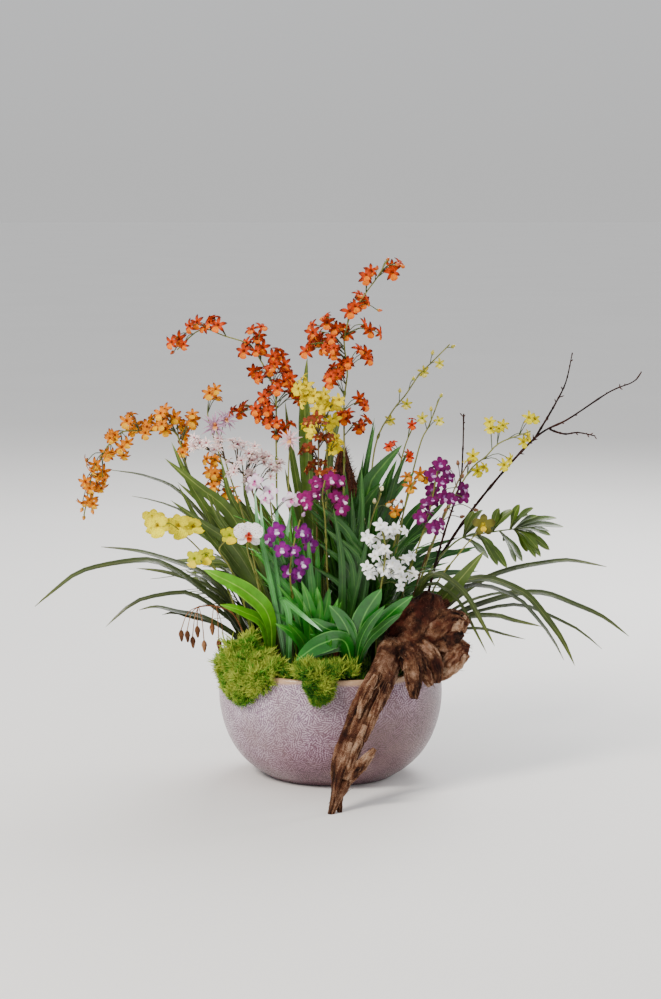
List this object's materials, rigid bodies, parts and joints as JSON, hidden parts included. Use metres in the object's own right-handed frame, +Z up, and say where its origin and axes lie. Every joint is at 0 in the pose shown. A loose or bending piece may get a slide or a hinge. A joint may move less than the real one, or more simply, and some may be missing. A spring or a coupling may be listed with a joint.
{
  "type": "orchid arrangement in bowl",
  "caption": "Arrangement of small orchids, strap leaves, moss and a weathered root in a round glazed bowl; a decorative planted bowl that stands on a flat foot.",
  "frame": {"origin": "centre of the bowl's flat foot, on the surface it stands on", "axes": "+Z up; the front of the arrangement, with the root's leg, faces -Y; +X to the right seen from the front"},
  "size_m": [0.8973, 0.5177, 0.7654],
  "materials": {
    "glaze": "satin, finely crackled, lavender with wine-coloured shade",
    "soil": "loose damp bark mix",
    "moss": "matt, short pile",
    "root_wood": "weathered, fibrous",
    "bark": "rough",
    "leaf": "soft sheen",
    "pod": "dry, matt",
    "petal_amber": "soft sheen",
    "petal_orange": "soft sheen",
    "petal_yellow": "soft sheen",
    "petal_red": "soft sheen",
    "petal_magenta": "soft sheen",
    "petal_violet": "soft sheen",
    "petal_bronze": "soft sheen",
    "petal_olive": "soft sheen",
    "petal_buds": "soft sheen",
    "petal_brown": "soft sheen",
    "petal_white": "soft sheen",
    "petal_mauve": "soft sheen",
    "petal_pink": "soft sheen",
    "petal_pale": "soft sheen"
  },
  "bodies": {
    "root": {"bark_post": "bark", "bloom_mauve_spider": "petal_mauve", "bloom_pink_spider": "petal_pink", "bloom_white_moth": "petal_white", "blooms_green_yellow": "petal_yellow", "blooms_pink_left": "petal_pink", "blooms_yellow_left": "petal_yellow", "bowl": "glaze", "buds_centre": "petal_buds", "buds_right": "petal_buds", "driftwood": "root_wood", "grass_back": "leaf", "grass_back_left": "leaf", "grass_back_right": "leaf", "grass_middle": "leaf", "grass_middle_left": "leaf", "grass_middle_right": "leaf", "leaf_broad_right": "leaf", "leaf_tall_back": "leaf", "leafy_shoot_right": "leaf", "leaves_back_left": "leaf", "leaves_back_right": "leaf", "leaves_bright_left": "leaf", "leaves_dark_centre": "leaf", "leaves_mint": "leaf", "leaves_rosette_front": "leaf", "leaves_rosette_middle": "leaf", "leaves_strap_left": "leaf", "leaves_strap_right": "leaf", "leaves_sword_left": "leaf", "leaves_tall_centre": "leaf", "moss_back": "moss", "moss_front": "moss", "moss_left": "moss", "moss_right": "moss", "pods_hanging": "pod", "soil": "soil", "spray_amber_arch": "petal_amber", "spray_amber_low": "petal_amber", "spray_bronze_right": "petal_bronze", "spray_brown_centre": "petal_brown", "spray_magenta_centre": "petal_magenta", "spray_magenta_right": "petal_magenta", "spray_olive_right": "petal_olive", "spray_orange_arch": "petal_orange", "spray_orange_upright": "petal_orange", "spray_pale_lace": "petal_pale", "spray_pale_yellow_short": "petal_yellow", "spray_pale_yellow_tall": "petal_yellow", "spray_red_small": "petal_red", "spray_violet_low": "petal_violet", "spray_white_stars": "petal_white", "spray_yellow_centre": "petal_yellow", "spray_yellow_right": "petal_yellow", "twig_forked": "bark", "twig_upright": "bark"}
  },
  "joints": []
}
